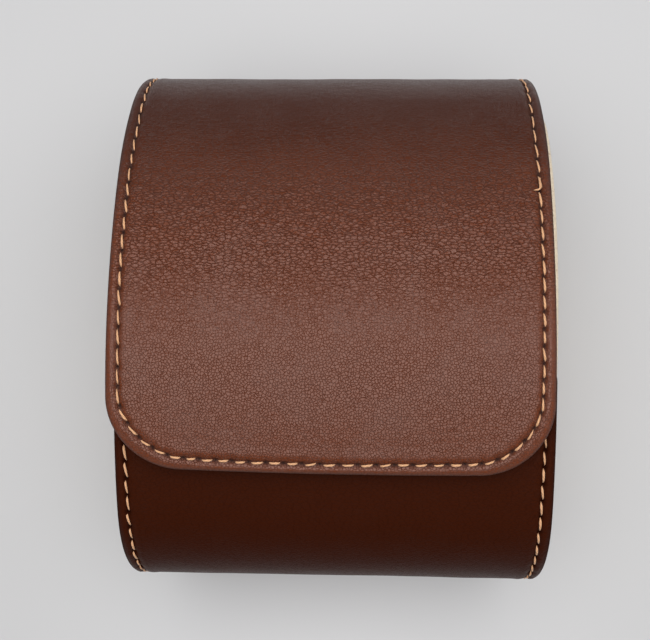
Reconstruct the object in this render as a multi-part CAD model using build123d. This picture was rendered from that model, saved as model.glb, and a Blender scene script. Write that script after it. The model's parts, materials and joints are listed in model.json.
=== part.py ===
"""A travel case for one watch: a leather tube of oval section, an over-lapping flap, a sliding sleeve
and a pillow for the watch.

The case lies on its flat back. X runs along the tube, from one open end to the other, Y runs from the
lower end wall to the hinge, and Z points out of the back towards the crown of the front. The origin is
the centre of the flat back. All sizes are in millimetres.

The section is an oval of tangent arcs. A place on it is given by the angle of its outward normal,
from +Y towards +Z, and by its depth under the outer surface, which is negative above it.
"""
from build123d import *
import math
import os

# The tube
case_width = 75.0          # along X, over both open ends
case_height = 94.5         # along Y, over the rigid tube
case_depth = 60.0          # along Z, from the flat back to the crown of the front
waist_height = 30.0        # Z of the widest line, and the radius of both back corners
end_radius = 23.0          # of the two end walls, above the waist
window_low = -10.0         # Y of the front opening's lower edge, under the flap
window_high = 26.0         # Y of its upper edge

# Layers of the wall, from outside in
leather = 1.1
shell_card = 1.5
shell_suede = 0.7
lining_setback = 0.5       # how far the linings stop short of a turned leather edge

# The flap
flap_gap = 0.3             # between the tube and the closed flap's lining
flap_suede = 0.5
flap_card = 0.6
flap_padding = 0.6
flap_edge = -28.8          # Y of the free edge
flap_corner = 12.0         # radius of its two free corners
hinge_slot = 0.5           # gap between the two rigid stretches of leather that stand for the soft hinge
cover_start = -64.0        # angle at which the upper wall's own leather comes out from under the strip

# The seams
seam_inset = 2.1           # from a leather edge to the thread
groove_width = 0.9
groove_depth = 0.5
thread = 0.44              # diameter
stitch_pitch = 2.8
stitch_length = 2.0

# The sleeve and the pillow
slide_gap = 0.35           # between the shell's lining and the sleeve
sleeve_length = 75.0
sleeve_proud = 1.5         # how far the sleeve stands out of the right-hand end
sleeve_suede = 0.6
sleeve_card = 1.2
sleeve_hoop = 10.0         # width of the closed hoops at both ends of the sleeve
sleeve_corner = 5.0        # corner radius of the sleeve's window
pillow_gap = 0.3           # between the pillow and the sleeve's back lining
pillow_width = 48.0        # along X
pillow_round = 14.0        # radius of the pillow's four long corners
pillow_flat = 1.0          # flat height between the upper and lower corners
pillow_cloth = 0.8
plate_thickness = 1.0
plate_margin = 4.0         # from the spring plate to the pillow's cover

# The press fastener
snap_y = -19.0
stud_flange = 4.0          # radius
stud_neck = 1.35
stud_head = 1.7
stud_top = 1.1             # height of the head above the leather
stud_sink = 0.15           # how far the flange lies under the leather's surface
head_height = 0.5
post_radius = 1.2
post_flange = 3.4
post_flange_height = 0.4
socket_radius = 4.6
socket_bore = 2.9
spring_bore = 2.6
spring_groove = 3.2
spring_height = 0.35
spring_slot = 0.8
cap_height = 0.4
fit = 0.05                 # clearance round the fastener's parts

# Worked out from the sizes above
half_width = case_width / 2
half_height = case_height / 2
end_centre = half_height - end_radius
crown_rise = case_depth - waist_height - end_radius
crown_radius = end_radius + (end_centre ** 2 + crown_rise ** 2) / (2 * crown_rise)
crown_centre = case_depth - crown_radius
crown_start = math.degrees(math.acos(end_centre / (crown_radius - end_radius)))
back_centre = half_height - waist_height
board_depth = leather + shell_card
wall = board_depth + shell_suede
flap_board_depth = -(flap_gap + flap_suede)
flap_foam_depth = flap_board_depth - flap_card
flap_leather_depth = flap_foam_depth - flap_padding
flap_top = flap_leather_depth - leather
hinge_rise = -flap_top
low_angle = math.degrees(math.acos(window_low / crown_radius))
high_angle = 360 + math.degrees(math.acos(window_high / crown_radius))
lip_turn = math.degrees(leather / crown_radius)
seam_x = half_width - seam_inset
sleeve_start = wall + slide_gap
sleeve_board_depth = sleeve_start + sleeve_suede
sleeve_lining_depth = sleeve_board_depth + sleeve_card
sleeve_inside = sleeve_lining_depth + sleeve_suede
pillow_floor = sleeve_inside + pillow_gap
pillow_depth = 2 * pillow_round + pillow_flat
pillow_height = 2 * (back_centre + pillow_round)
pillow_axis = pillow_floor + pillow_depth / 2

# The oval, as arcs: centre Y, centre Z, radius, first and last angle of the normal
hinge_end = (end_centre, waist_height, end_radius, 0, crown_start)
crown = (0, crown_centre, crown_radius, crown_start, 180 - crown_start)
lower_end = (-end_centre, waist_height, end_radius, 180 - crown_start, 180)
lower_back = (-back_centre, waist_height, waist_height, 180, 270)
upper_back = (back_centre, waist_height, waist_height, 270, 360)
oval = [hinge_end, crown, lower_end, lower_back, upper_back]
hinge_strip = (back_centre + hinge_rise, waist_height, waist_height, 270,
               360 - math.degrees(hinge_slot / 2 / waist_height))


def spot(arc, angle, depth):
    """The point of an arc whose normal has this angle, sunk under the arc by depth."""
    centre_y, centre_z, radius = arc[:3]
    turn = math.radians(angle)
    return (centre_y + (radius - depth) * math.cos(turn), centre_z + (radius - depth) * math.sin(turn))


def trimmed(arcs, start, stop):
    """The arcs between two angles, walked round and round the oval from below 0 to past 360."""
    pieces = []
    for lap in (-360, 0, 360):
        for centre_y, centre_z, radius, first, last in arcs:
            low = max(first + lap, start)
            high = min(last + lap, stop)
            if high - low > 1e-6:
                pieces.append((centre_y, centre_z, radius, low, high))
    return pieces


def edges_at(arcs, depth):
    """The arcs at one depth as edges, with a straight run wherever two of them don't meet."""
    edges = []
    for arc in arcs:
        begin, middle, end = (spot(arc, angle, depth) for angle in (arc[3], (arc[3] + arc[4]) / 2, arc[4]))
        if edges and math.dist(last, begin) > 1e-6:
            edges.append(Line(last, begin))
        edges.append(ThreePointArc(begin, middle, end))
        last = end
    return edges


def layer(arcs, outer, inner, left=-half_width, right=half_width):
    """A curved sheet between two depths, from X = left to X = right."""
    ends = [Line(spot(arc, angle, outer), spot(arc, angle, inner))
            for arc, angle in ((arcs[0], arcs[0][3]), (arcs[-1], arcs[-1][4]))]
    face = make_face(edges_at(arcs, outer) + edges_at(arcs, inner) + ends)
    return extrude(Plane.YZ.offset(left) * face, amount=right - left)


def ring(outer, inner, left, right):
    """A closed oval tube between two depths."""
    faces = []
    for depth in (outer, inner):
        closing = Line(spot(lower_back, 270, depth), spot(upper_back, 270, depth))
        arcs = [edge for arc in oval for edge in edges_at([arc], depth)]
        faces.append(make_face(arcs + [closing]))
    return extrude(Plane.YZ.offset(left) * (faces[0] - faces[1]), amount=right - left)


def upright(outline, low=-case_depth, high=2 * case_depth):
    """A plan outline, drawn in X and Y, carried straight up."""
    return extrude(Plane.XY.offset(low) * outline, amount=high - low)


def rod(centre, along, diameter, length):
    """One stitch of thread: a short straight rod."""
    return Plane(origin=centre, z_dir=along) * Cylinder(diameter / 2, length)


def stitches(route):
    """Stitches spread evenly along a route of close points."""
    steps = [math.dist(a, b) for a, b in zip(route, route[1:])]
    count = int(sum(steps) / stitch_pitch)
    gap = sum(steps) / count
    rods = []
    walked = 0.0
    for (a, b), step in zip(zip(route, route[1:]), steps):
        while len(rods) < count and (len(rods) + 0.5) * gap <= walked + step:
            part = ((len(rods) + 0.5) * gap - walked) / step
            centre = tuple(p + (q - p) * part for p, q in zip(a, b))
            along = tuple(q - p for p, q in zip(a, b))
            rods.append(rod(centre, along, thread, stitch_length))
        walked += step
    return Compound(children=rods)


def walk(arcs, depth, step=0.4):
    """Close points (Y, Z) along the arcs and the straight runs between them."""
    points = []
    for arc in arcs:
        count = max(1, round(math.radians(arc[4] - arc[3]) * (arc[2] - depth) / step))
        turns = [arc[3] + (arc[4] - arc[3]) * i / count for i in range(count + 1)]
        points += [spot(arc, angle, depth) for angle in turns]
    return [p for i, p in enumerate(points) if i == 0 or math.dist(p, points[i - 1]) > 1e-6]


# The shell
strip_course = trimmed([crown, lower_end, lower_back], low_angle, 270) + [hinge_strip]
wrapped_course = trimmed([crown, lower_end, lower_back], low_angle, 270)
tube_course = trimmed(oval, low_angle, high_angle)
card_course = trimmed(oval, low_angle + lip_turn, high_angle - lip_turn)
cover_course = trimmed(oval, 360 + cover_start, high_angle)


def snap_place(height=0.0):
    """The plane of the fastener, a height above the shell's leather, with its axis along the normal."""
    angle = math.acos(snap_y / crown_radius)
    y, z = spot(crown, math.degrees(angle), -height)
    return Plane(origin=(0, y, z), x_dir=(1, 0, 0), z_dir=(0, math.cos(angle), math.sin(angle)))


def puck(radius, low, high):
    """A disc round the fastener's axis, between two heights above the shell's leather."""
    return snap_place(low) * Cylinder(radius, high - low, align=(Align.CENTER, Align.CENTER, Align.MIN))


def shell_board():
    board = layer(card_course, leather, board_depth, leather - half_width, half_width - leather)
    board -= puck(post_radius + fit, -board_depth - 1, 0)
    board -= puck(post_flange + fit, -board_depth - 1, post_flange_height - board_depth)
    return board


def side_groove(side):
    """The groove of one side seam, along the strip's whole length."""
    centre = side * seam_x
    return layer(strip_course, -1, groove_depth, centre - groove_width / 2, centre + groove_width / 2)


def front_groove_angle():
    """The angle of the seam along the shell's front edge."""
    return low_angle + math.degrees(seam_inset / crown_radius)


def shell_leather():
    board = layer(card_course, leather, board_depth + 1, leather - half_width, half_width - leather)
    turned = layer(wrapped_course + trimmed([upper_back], 270, 270 + lip_turn), 0, board_depth)
    strip = layer(strip_course, 0, leather)
    body = strip + (turned - board)
    half_groove = math.degrees(groove_width / 2 / crown_radius)
    front = trimmed([crown], front_groove_angle() - half_groove, front_groove_angle() + half_groove)
    body -= layer(front, -1, groove_depth, -seam_x, seam_x)
    for side in (-1, 1):
        body -= side_groove(side)
    return body - puck(stud_flange + fit, -leather - 1, 1)


def top_wall_cover():
    board = layer(trimmed(oval, 180, high_angle - lip_turn), leather, board_depth + 1,
                  leather - half_width, half_width - leather)
    return layer(cover_course, 0, board_depth) - board


def shell_lining():
    return layer(tube_course, board_depth, wall, lining_setback - half_width, half_width - lining_setback)


def shell_seam(side):
    start = front_groove_angle() + math.degrees(stitch_pitch / crown_radius)
    course = trimmed([crown, lower_end, lower_back], start, 270) + [hinge_strip]
    return stitches([(side * seam_x, y, z) for y, z in walk(course, groove_depth - thread / 2)])


def front_edge_seam():
    y, z = spot(crown, front_groove_angle(), groove_depth - thread / 2)
    return stitches([(-seam_x, y, z), (seam_x, y, z)])


def snap_stud():
    flange = puck(stud_flange, -leather, -stud_sink)
    neck = puck(stud_neck, -stud_sink, stud_top - head_height)
    head = puck(stud_head, stud_top - head_height, stud_top)
    return flange + neck + fillet(head.edges().filter_by(GeomType.CIRCLE), head_height * 0.4)


def snap_post():
    shank = puck(post_radius, post_flange_height - board_depth, -leather)
    return shank + puck(post_flange, -board_depth, post_flange_height - board_depth)


# The flap
root_angle = math.degrees(hinge_slot / 2 / (end_radius + hinge_rise))
flap_course = trimmed(oval, root_angle, 180 - crown_start)
core_course = trimmed(oval, root_angle + math.degrees(leather / end_radius), 180 - crown_start)


def flap_plan(inset):
    """The flap's outline from above, drawn in by an inset, and open past the hinge."""
    width = case_width - 2 * inset
    length = 2 * case_height
    plan = RectangleRounded(width, length, flap_corner - inset)
    return upright(Pos(0, flap_edge + inset + length / 2) * plan)


def flap_core(inner, outer):
    """A layer of the flap that the leather is turned round."""
    return layer(core_course, outer, inner) & flap_plan(leather)


def flap_groove():
    """The groove of the flap's seam, which runs round its three free sides."""
    ring_plan = flap_plan(seam_inset - groove_width / 2) - flap_plan(seam_inset + groove_width / 2)
    return layer(flap_course, flap_top - 1, flap_top + groove_depth) & ring_plan


def flap_leather():
    body = layer(flap_course, flap_top, flap_board_depth) & flap_plan(0)
    body -= flap_core(flap_board_depth + 1, flap_leather_depth)
    return body - flap_groove()


def flap_foam():
    return flap_core(flap_foam_depth, flap_leather_depth) - puck(socket_radius + fit, 0, hinge_rise)


def flap_board():
    return flap_core(flap_board_depth, flap_foam_depth) - puck(socket_radius + fit, 0, hinge_rise)


def flap_lining():
    body = layer(flap_course, flap_board_depth, -flap_gap) & flap_plan(lining_setback)
    return body - puck(socket_radius + fit, 0, hinge_rise)


def flap_seam():
    """Up one side, round the free edge and back up the other side, in the middle of the groove."""
    depth = flap_top + groove_depth - thread / 2
    reach = crown_radius - depth
    bend = flap_corner - seam_inset
    edge_y = flap_edge + seam_inset
    side = [(seam_x, y, z) for y, z in walk(trimmed(oval, root_angle, 90), depth)]
    side += [(seam_x, y, z) for y, z in walk(trimmed([crown], 90, crown_angle(edge_y + bend, depth)), depth)]
    for i in range(1, 40):
        turn = math.radians(90 * i / 40)
        y = edge_y + bend * (1 - math.sin(turn))
        side.append((seam_x - bend * (1 - math.cos(turn)), y, crown_centre + math.sqrt(reach ** 2 - y ** 2)))
    edge_z = crown_centre + math.sqrt(reach ** 2 - edge_y ** 2)
    side.append((seam_x - bend, edge_y, edge_z))
    other = [(-x, y, z) for x, y, z in reversed(side)]
    return stitches([p for i, p in enumerate(side + other) if i == 0 or p != (side + other)[i - 1]])


def crown_angle(y, depth):
    """The angle at which the crown, at a depth, passes a given Y."""
    return math.degrees(math.acos(y / (crown_radius - depth)))


def snap_socket():
    top = -flap_foam_depth
    body = puck(socket_radius, flap_gap, top) - puck(socket_bore, 0, hinge_rise)
    middle = (flap_gap + top) / 2
    return body - puck(spring_groove, middle - spring_height / 2 - fit, middle + spring_height / 2 + fit)


def snap_spring():
    middle = (flap_gap - flap_foam_depth) / 2
    body = puck(spring_groove - fit, middle - spring_height / 2, middle + spring_height / 2)
    body -= puck(spring_bore, 0, hinge_rise)
    slot = Pos(spring_groove, 0, 0) * Box(2 * spring_groove, spring_slot, 2 * hinge_rise)
    return body - snap_place(middle) * slot


def snap_cap():
    return puck(socket_radius, -flap_foam_depth, cap_height - flap_foam_depth)


# The sleeve
sleeve_left = half_width + sleeve_proud - sleeve_length
sleeve_right = half_width + sleeve_proud
sleeve_middle = (sleeve_left + sleeve_right) / 2


def sleeve_window(margin):
    """The sleeve's window, in line with the shell's front opening and grown by a margin."""
    width = sleeve_length - 2 * sleeve_hoop + 2 * margin
    height = window_high - window_low + 2 * margin
    plan = RectangleRounded(width, height, sleeve_corner + margin)
    return upright(Pos(sleeve_middle, (window_high + window_low) / 2) * plan, low=waist_height)


def sleeve_core(inner):
    """The sleeve's board, or the room for it when it goes on past the board's inner face."""
    tube = ring(sleeve_board_depth, inner, sleeve_left + sleeve_suede, sleeve_right - sleeve_suede)
    return tube - sleeve_window(sleeve_suede)


def sleeve_board():
    return sleeve_core(sleeve_lining_depth)


def sleeve_outer_suede():
    body = ring(sleeve_start, sleeve_lining_depth, sleeve_left, sleeve_right) - sleeve_window(0)
    return body - sleeve_core(sleeve_lining_depth + 1)


def sleeve_inner_suede():
    body = ring(sleeve_lining_depth, sleeve_inside, sleeve_left + sleeve_suede, sleeve_right - sleeve_suede)
    return body - sleeve_window(sleeve_suede)


# The pillow
pillow_place = Plane(origin=(sleeve_middle, 0, pillow_axis), x_dir=(0, 1, 0), z_dir=(1, 0, 0))


def pillow_block(inset, left, right):
    """The pillow's section, drawn in by an inset, from one place along X to another."""
    plan = RectangleRounded(pillow_height - 2 * inset, pillow_depth - 2 * inset, pillow_round - inset)
    return extrude(pillow_place.offset(left) * plan, amount=right - left)


def pillow_cover():
    reach = pillow_width / 2 - pillow_cloth
    return pillow_block(0, -reach, reach) - pillow_block(pillow_cloth, -reach, reach)


def pillow_end(side):
    reach = pillow_width / 2
    low, high = sorted((side * reach, side * (reach - pillow_cloth)))
    end = pillow_block(0, low, high)
    rim = end.faces().sort_by(Axis.X)[-1 if side > 0 else 0].edges()
    return fillet(rim, pillow_cloth * 0.7)


def spring_plate():
    body = Box(pillow_width - 2 * pillow_cloth - 2 * plate_margin,
               pillow_height - 2 * pillow_cloth - 2 * plate_margin, plate_thickness)
    body = fillet(body.edges().filter_by(Axis.Z), plate_margin)
    return Pos(sleeve_middle, 0, pillow_axis) * body


def pillow_foam(side):
    """The half of the pillow's filling in front of the spring plate, or behind it."""
    reach = pillow_width / 2 - pillow_cloth
    body = pillow_block(pillow_cloth, -reach, reach) - spring_plate()
    half = Pos(sleeve_middle, 0, pillow_axis + side * pillow_depth / 2)
    return body & half * Box(pillow_width, pillow_height, pillow_depth)


nodes = {
    "shell_leather": shell_leather(),
    "shell_board": shell_board(),
    "shell_lining": shell_lining(),
    "top_wall_cover": top_wall_cover(),
    "shell_seam_left": shell_seam(-1),
    "shell_seam_right": shell_seam(1),
    "front_edge_seam": front_edge_seam(),
    "snap_stud": snap_stud(),
    "snap_post": snap_post(),
    "flap_leather": flap_leather(),
    "flap_foam": flap_foam(),
    "flap_board": flap_board(),
    "flap_lining": flap_lining(),
    "flap_seam": flap_seam(),
    "snap_socket": snap_socket(),
    "snap_spring": snap_spring(),
    "snap_cap": snap_cap(),
    "sleeve_board": sleeve_board(),
    "sleeve_outer_suede": sleeve_outer_suede(),
    "sleeve_inner_suede": sleeve_inner_suede(),
    "pillow_cover": pillow_cover(),
    "pillow_end_left": pillow_end(-1),
    "pillow_end_right": pillow_end(1),
    "pillow_foam_front": pillow_foam(1),
    "pillow_foam_back": pillow_foam(-1),
    "pillow_spring_plate": spring_plate(),
}

os.makedirs("parts", exist_ok=True)
for name, shape in nodes.items():
    export_step(shape, f"parts/{name}.step")
print(f"crown radius {crown_radius:.2f}, crown starts at {crown_start:.2f} degrees")
print(f"hinge axis: Y {half_height + hinge_rise:.3f}, Z {waist_height:.3f}")
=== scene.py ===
"""The looks of a watch travel case: leather, suede, thread and metal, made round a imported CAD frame.

Lengths are in millimetres until a mesh is made. The case lies on its back: X runs along the tube, Y from
the lower end wall to the flap's hinge, and Z out of the back towards the crown of the front.
A place on the leather is given by X, by the distance s walked along the section from a line across the
back, and by the height h over the leather's outer surface.
"""
import json
import math

import bmesh
import bpy
import numpy as np
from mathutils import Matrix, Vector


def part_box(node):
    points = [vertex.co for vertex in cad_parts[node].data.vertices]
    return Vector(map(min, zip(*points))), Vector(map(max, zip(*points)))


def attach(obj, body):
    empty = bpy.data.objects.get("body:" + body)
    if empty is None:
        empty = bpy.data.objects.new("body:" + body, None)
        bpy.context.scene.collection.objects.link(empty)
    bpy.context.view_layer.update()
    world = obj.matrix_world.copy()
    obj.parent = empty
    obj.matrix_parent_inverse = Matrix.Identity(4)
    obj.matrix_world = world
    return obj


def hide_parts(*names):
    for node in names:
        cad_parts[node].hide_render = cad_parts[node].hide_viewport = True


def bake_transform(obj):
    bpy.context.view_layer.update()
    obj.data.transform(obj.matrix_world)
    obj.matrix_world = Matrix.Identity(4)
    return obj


bl_info = {
    "name": "Watch travel case",
    "version": (1, 0, 0),
    "blender": (4, 5, 0),
    "location": "3D View > Sidebar > Watch case",
    "description": "Adds the leather, suede, stitching, cushion and stage of a watch travel case",
    "category": "Add Mesh",
}

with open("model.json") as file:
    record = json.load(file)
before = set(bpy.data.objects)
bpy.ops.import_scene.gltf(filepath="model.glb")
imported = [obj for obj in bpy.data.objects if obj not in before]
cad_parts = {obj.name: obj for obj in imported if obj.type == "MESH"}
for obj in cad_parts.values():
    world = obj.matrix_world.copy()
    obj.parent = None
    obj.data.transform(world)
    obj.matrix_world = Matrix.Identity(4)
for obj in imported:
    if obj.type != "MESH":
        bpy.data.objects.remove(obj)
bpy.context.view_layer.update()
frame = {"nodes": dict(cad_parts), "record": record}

MM = 0.001
UV_SCALE = 0.01            # a piece's UV map holds its X and s in units of 100 mm
WELD = 2e-6                # points nearer than this, in metres, are made one
SLIVER = 1e-7              # edges shorter than this, in metres, are taken out


def node_box(name):
    """A CAD node's lowest and highest corner, in millimetres."""
    low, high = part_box(name)
    return np.array(low) / MM, np.array(high) / MM


def hinge_place():
    """Y and Z of the flap's hinge axis, in millimetres."""
    joint = next(j for j in frame["record"]["behaviour"]["joints"] if j["name"] == "flap_hinge")
    return joint["pos_m"][1] / MM, joint["pos_m"][2] / MM


HINGE_Y, HINGE_Z = hinge_place()
HALF_WIDTH = node_box("shell_leather")[1][0]
HALF_HEIGHT = -node_box("shell_leather")[0][1]
FLAP_RISE = HINGE_Y - HALF_HEIGHT
CASE_DEPTH = node_box("flap_leather")[1][2] - FLAP_RISE
FLAP_EDGE = node_box("flap_leather")[0][1]


# ---------------------------------------------------------------- sizes and colours a user would change

class WatchCaseSizes(bpy.types.PropertyGroup):
    end_radius: bpy.props.FloatProperty(
        name="End radius", description="Radius of the tube's two end walls, in mm", default=23.0)
    leather: bpy.props.FloatProperty(
        name="Leather", description="Thickness of the leather, in mm", default=1.1)
    card: bpy.props.FloatProperty(
        name="Board", description="Thickness of the shell's stiff board, in mm", default=1.5)
    flap_body: bpy.props.FloatProperty(
        name="Flap thickness", description="Thickness of the whole flap, in mm", default=2.8)
    flap_corner: bpy.props.FloatProperty(
        name="Flap corner", description="Radius of the flap's two free corners, in mm", default=12.3)
    flap_bow: bpy.props.FloatProperty(
        name="Flap bow", description="How far the middle of the flap's free end bows out, in mm",
        default=0.68)
    flap_slant: bpy.props.FloatProperty(
        name="Flap slant", description="How much lower the free end's right side lies than its middle, in mm",
        default=0.25)
    edge_swell: bpy.props.FloatProperty(
        name="Edge swell", description="How far the turned edges bulge out where they bend, in mm",
        default=0.30)
    front_corner: bpy.props.FloatProperty(
        name="Front corner", description="Radius of the corners that the flap hides, in mm", default=3.5)
    window_low: bpy.props.FloatProperty(
        name="Opening, lower edge", description="Y of the front opening's lower edge, in mm", default=-10.0)
    window_high: bpy.props.FloatProperty(
        name="Opening, upper edge", description="Y of the front opening's upper edge, in mm", default=26.0)
    split_y: bpy.props.FloatProperty(
        name="Split", description="Y of the hidden line on the back where two skins meet, in mm",
        default=18.5)
    flap_askew: bpy.props.FloatProperty(
        name="Flap askew", description="How far the flap's free end lies along X, in mm", default=-0.50)
    shell_askew: bpy.props.FloatProperty(
        name="Shell askew", description="How far the shell's lower end lies along X, in mm", default=0.20)
    sleeve_askew: bpy.props.FloatProperty(
        name="Sleeve askew", description="How much further out the sleeve's upper side stands, in mm",
        default=2.4)
    sleeve_out: bpy.props.FloatProperty(
        name="Sleeve out", description="How far the sleeve's upper side is drawn out at rest, in mm",
        default=0.95)
    sleeve_start: bpy.props.FloatProperty(
        name="Sleeve depth", description="Depth of the sleeve's outer face, in mm", default=3.65)
    sleeve_wall: bpy.props.FloatProperty(
        name="Sleeve wall", description="Thickness of the sleeve's wall, in mm", default=2.4)


class WatchCaseSeams(bpy.types.PropertyGroup):
    inset: bpy.props.FloatProperty(
        name="Inset", description="From the leather's edge to the thread, in mm", default=1.75)
    pitch: bpy.props.FloatProperty(
        name="Pitch", description="From one needle hole to the next, in mm", default=2.85)
    side_share: bpy.props.FloatProperty(
        name="Stitch share, sides", description="Share of the pitch that a side's stitch fills",
        subtype="FACTOR", min=0.0, max=1.0, default=0.84)
    end_share: bpy.props.FloatProperty(
        name="Stitch share, end", description="Share of the pitch that a free end's stitch fills",
        subtype="FACTOR", min=0.0, max=1.0, default=0.68)
    groove: bpy.props.FloatProperty(
        name="Groove", description="Depth to which the thread pulls the leather in, in mm", default=0.36)
    thread: bpy.props.FloatProperty(
        name="Thread", description="Diameter of the thread, in mm", default=0.40)
    seed: bpy.props.IntProperty(
        name="Seed", description="Seed of the stitches' small irregularities", default=7)


class WatchCaseColours(bpy.types.PropertyGroup):
    leather: bpy.props.FloatVectorProperty(
        name="Leather", description="Colour of the leather", subtype="COLOR", size=3,
        default=(0.150, 0.036, 0.0120))
    # Also the colour of the painted shade by the lower end, over the upper bend, in the seams and under the
    # turned edges
    leather_dark: bpy.props.FloatVectorProperty(
        name="Leather, dark", description="Colour of the leather's creases", subtype="COLOR", size=3,
        default=(0.036, 0.0068, 0.0024))
    suede: bpy.props.FloatVectorProperty(
        name="Suede", description="Colour of the suede", subtype="COLOR", size=3,
        default=(0.94, 0.80, 0.62))
    thread: bpy.props.FloatVectorProperty(
        name="Thread", description="Colour of the thread", subtype="COLOR", size=3,
        default=(0.93, 0.51, 0.27))
    floor: bpy.props.FloatVectorProperty(
        name="Floor", description="Colour of the floor as the camera sees it", subtype="COLOR", size=3,
        default=(0.582, 0.588, 0.608))


# ---------------------------------------------------------------- the section

class Course:
    """A run of arcs in the YZ plane, walked by length, with a straight wherever two of them don't meet.

    An arc is (centre Y, centre Z, radius, first angle, last angle). The angle is that of the outward
    normal, in degrees from +Y towards +Z, and falls where the walk runs clockwise. lean gives how far a
    place is pushed along X, from its s and Y.
    """

    def __init__(self, arcs, lean=None):
        self.lean = lean or (lambda s, y: 0 * y)
        self.parts = []
        self.length = 0.0
        last = None
        for centre_y, centre_z, radius, first, last_angle in arcs:
            begin = self.on_arc(centre_y, centre_z, radius, math.radians(first))
            if last is not None and math.dist(last, begin) > 1e-6:
                self.add(("straight", last, begin, math.radians(first)), math.dist(last, begin))
            sweep = math.radians(last_angle - first)
            self.add(("arc", (centre_y, centre_z), radius, math.radians(first), sweep), abs(sweep) * radius)
            last = self.on_arc(centre_y, centre_z, radius, math.radians(last_angle))

    @staticmethod
    def on_arc(centre_y, centre_z, radius, turn):
        return centre_y + radius * math.cos(turn), centre_z + radius * math.sin(turn)

    def add(self, part, length):
        self.parts.append((part, self.length, length))
        self.length += length

    def at(self, s):
        """Y, Z and the outward normal at the distances s. Beyond its ends the walk goes on as it ended."""
        s = np.asarray(s, float)
        y, z, turn = np.zeros_like(s), np.zeros_like(s), np.zeros_like(s)
        for i, (part, start, length) in enumerate(self.parts):
            here = s >= start - 1e-9 if i else np.ones_like(s, bool)
            part_s = (s - start)[here]
            if part[0] == "straight":
                (y0, z0), (y1, z1) = part[1], part[2]
                y[here] = y0 + (y1 - y0) * part_s / length
                z[here] = z0 + (z1 - z0) * part_s / length
                turn[here] = part[3]
            else:
                (centre_y, centre_z), radius, first, sweep = part[1:]
                angle = first + sweep * part_s / length
                y[here] = centre_y + radius * np.cos(angle)
                z[here] = centre_z + radius * np.sin(angle)
                turn[here] = angle
        return y, z, np.cos(turn), np.sin(turn)

    def wrap(self, x, s, h):
        """Points of the leather's own space, X, s and h, as points of the case."""
        y, z, normal_y, normal_z = self.at(s)
        y, z = y + h * normal_y, z + h * normal_z
        return np.stack([x + self.lean(s, y), y, z], -1)


def crown_shape(sizes):
    """Radius of the crown's arc, Z of its centre and the angle at which it meets the end walls."""
    reach = HALF_HEIGHT - sizes.end_radius
    rise = CASE_DEPTH - HINGE_Z - sizes.end_radius
    radius = sizes.end_radius + (reach ** 2 + rise ** 2) / (2 * rise)
    return radius, CASE_DEPTH - radius, math.degrees(math.acos(reach / (radius - sizes.end_radius)))


def flap_course(sizes):
    """From the split on the back, up the free strip past the hinge, over the crown to the free edge."""
    radius, centre, start = crown_shape(sizes)
    outer = radius + FLAP_RISE
    strip = HINGE_Y - HINGE_Z
    lean_start, lean_reach = root_distance(sizes) - 14, 34

    def lean(s, y):
        return sizes.flap_askew * smooth((s - lean_start) / lean_reach)

    # The first arc is only a point, which says where the walk starts and which way it faces
    return Course([
        (sizes.split_y, HINGE_Z, HINGE_Z, 269.999, 270),
        (strip, HINGE_Z, HINGE_Z, 270, 360),
        (HALF_HEIGHT - sizes.end_radius, HINGE_Z, sizes.end_radius + FLAP_RISE, 360, 360 + start),
        (0, centre, outer, 360 + start, 360 + math.degrees(math.acos(FLAP_EDGE / outer)))], lean)


def shell_course(sizes):
    """From the split on the back, down round the lower end and up to the front edge under the flap."""
    radius, centre, start = crown_shape(sizes)
    back = HALF_HEIGHT - HINGE_Z
    lean_start, lean_reach = 60, 30

    def lean(s, y):
        return sizes.shell_askew * smooth((s - lean_start) / lean_reach)

    return Course([
        (sizes.split_y, HINGE_Z, HINGE_Z, 270.001, 270),
        (-back, HINGE_Z, HINGE_Z, 270, 180),
        (sizes.end_radius - HALF_HEIGHT, HINGE_Z, sizes.end_radius, 180, 180 - start),
        (0, centre, radius, 180 - start, math.degrees(math.acos(sizes.window_low / radius)))], lean)


def cover_course(sizes):
    """The upper end wall's own cover, from behind the free strip to the opening's upper edge."""
    radius, centre, start = crown_shape(sizes)
    behind_strip = -62.0       # the angle at which the cover starts
    return Course([
        (HALF_HEIGHT - HINGE_Z, HINGE_Z, HINGE_Z, behind_strip, 0),
        (HALF_HEIGHT - sizes.end_radius, HINGE_Z, sizes.end_radius, 0, start),
        (0, centre, radius, start, math.degrees(math.acos(sizes.window_high / radius)))])


def oval_course(sizes):
    """The whole oval, once round, for the sleeve, which stands a little askew in the shell."""
    radius, centre, start = crown_shape(sizes)

    def lean(s, y):
        return sizes.sleeve_askew * (y - HALF_HEIGHT) / (2 * HALF_HEIGHT) + sizes.sleeve_out

    end, back = HALF_HEIGHT - sizes.end_radius, HALF_HEIGHT - HINGE_Z
    return Course([
        (end, HINGE_Z, sizes.end_radius, 0, start), (0, centre, radius, start, 180 - start),
        (-end, HINGE_Z, sizes.end_radius, 180 - start, 180), (-back, HINGE_Z, HINGE_Z, 180, 270),
        (back, HINGE_Z, HINGE_Z, 270, 360)], lean)


# ---------------------------------------------------------------- making meshes

def grid_faces(rows, columns, close_rows=False, close_columns=False):
    """The quads of a grid of points, row by row, joined end to end where a direction closes."""
    row = np.arange(rows if close_rows else rows - 1)[:, None]
    column = np.arange(columns if close_columns else columns - 1)[None, :]
    next_row, next_column = (row + 1) % rows, (column + 1) % columns
    corners = (row * columns + column, row * columns + next_column,
               next_row * columns + next_column, next_row * columns + column)
    return np.stack(np.broadcast_arrays(*corners), -1).reshape(-1, 4)


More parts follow.
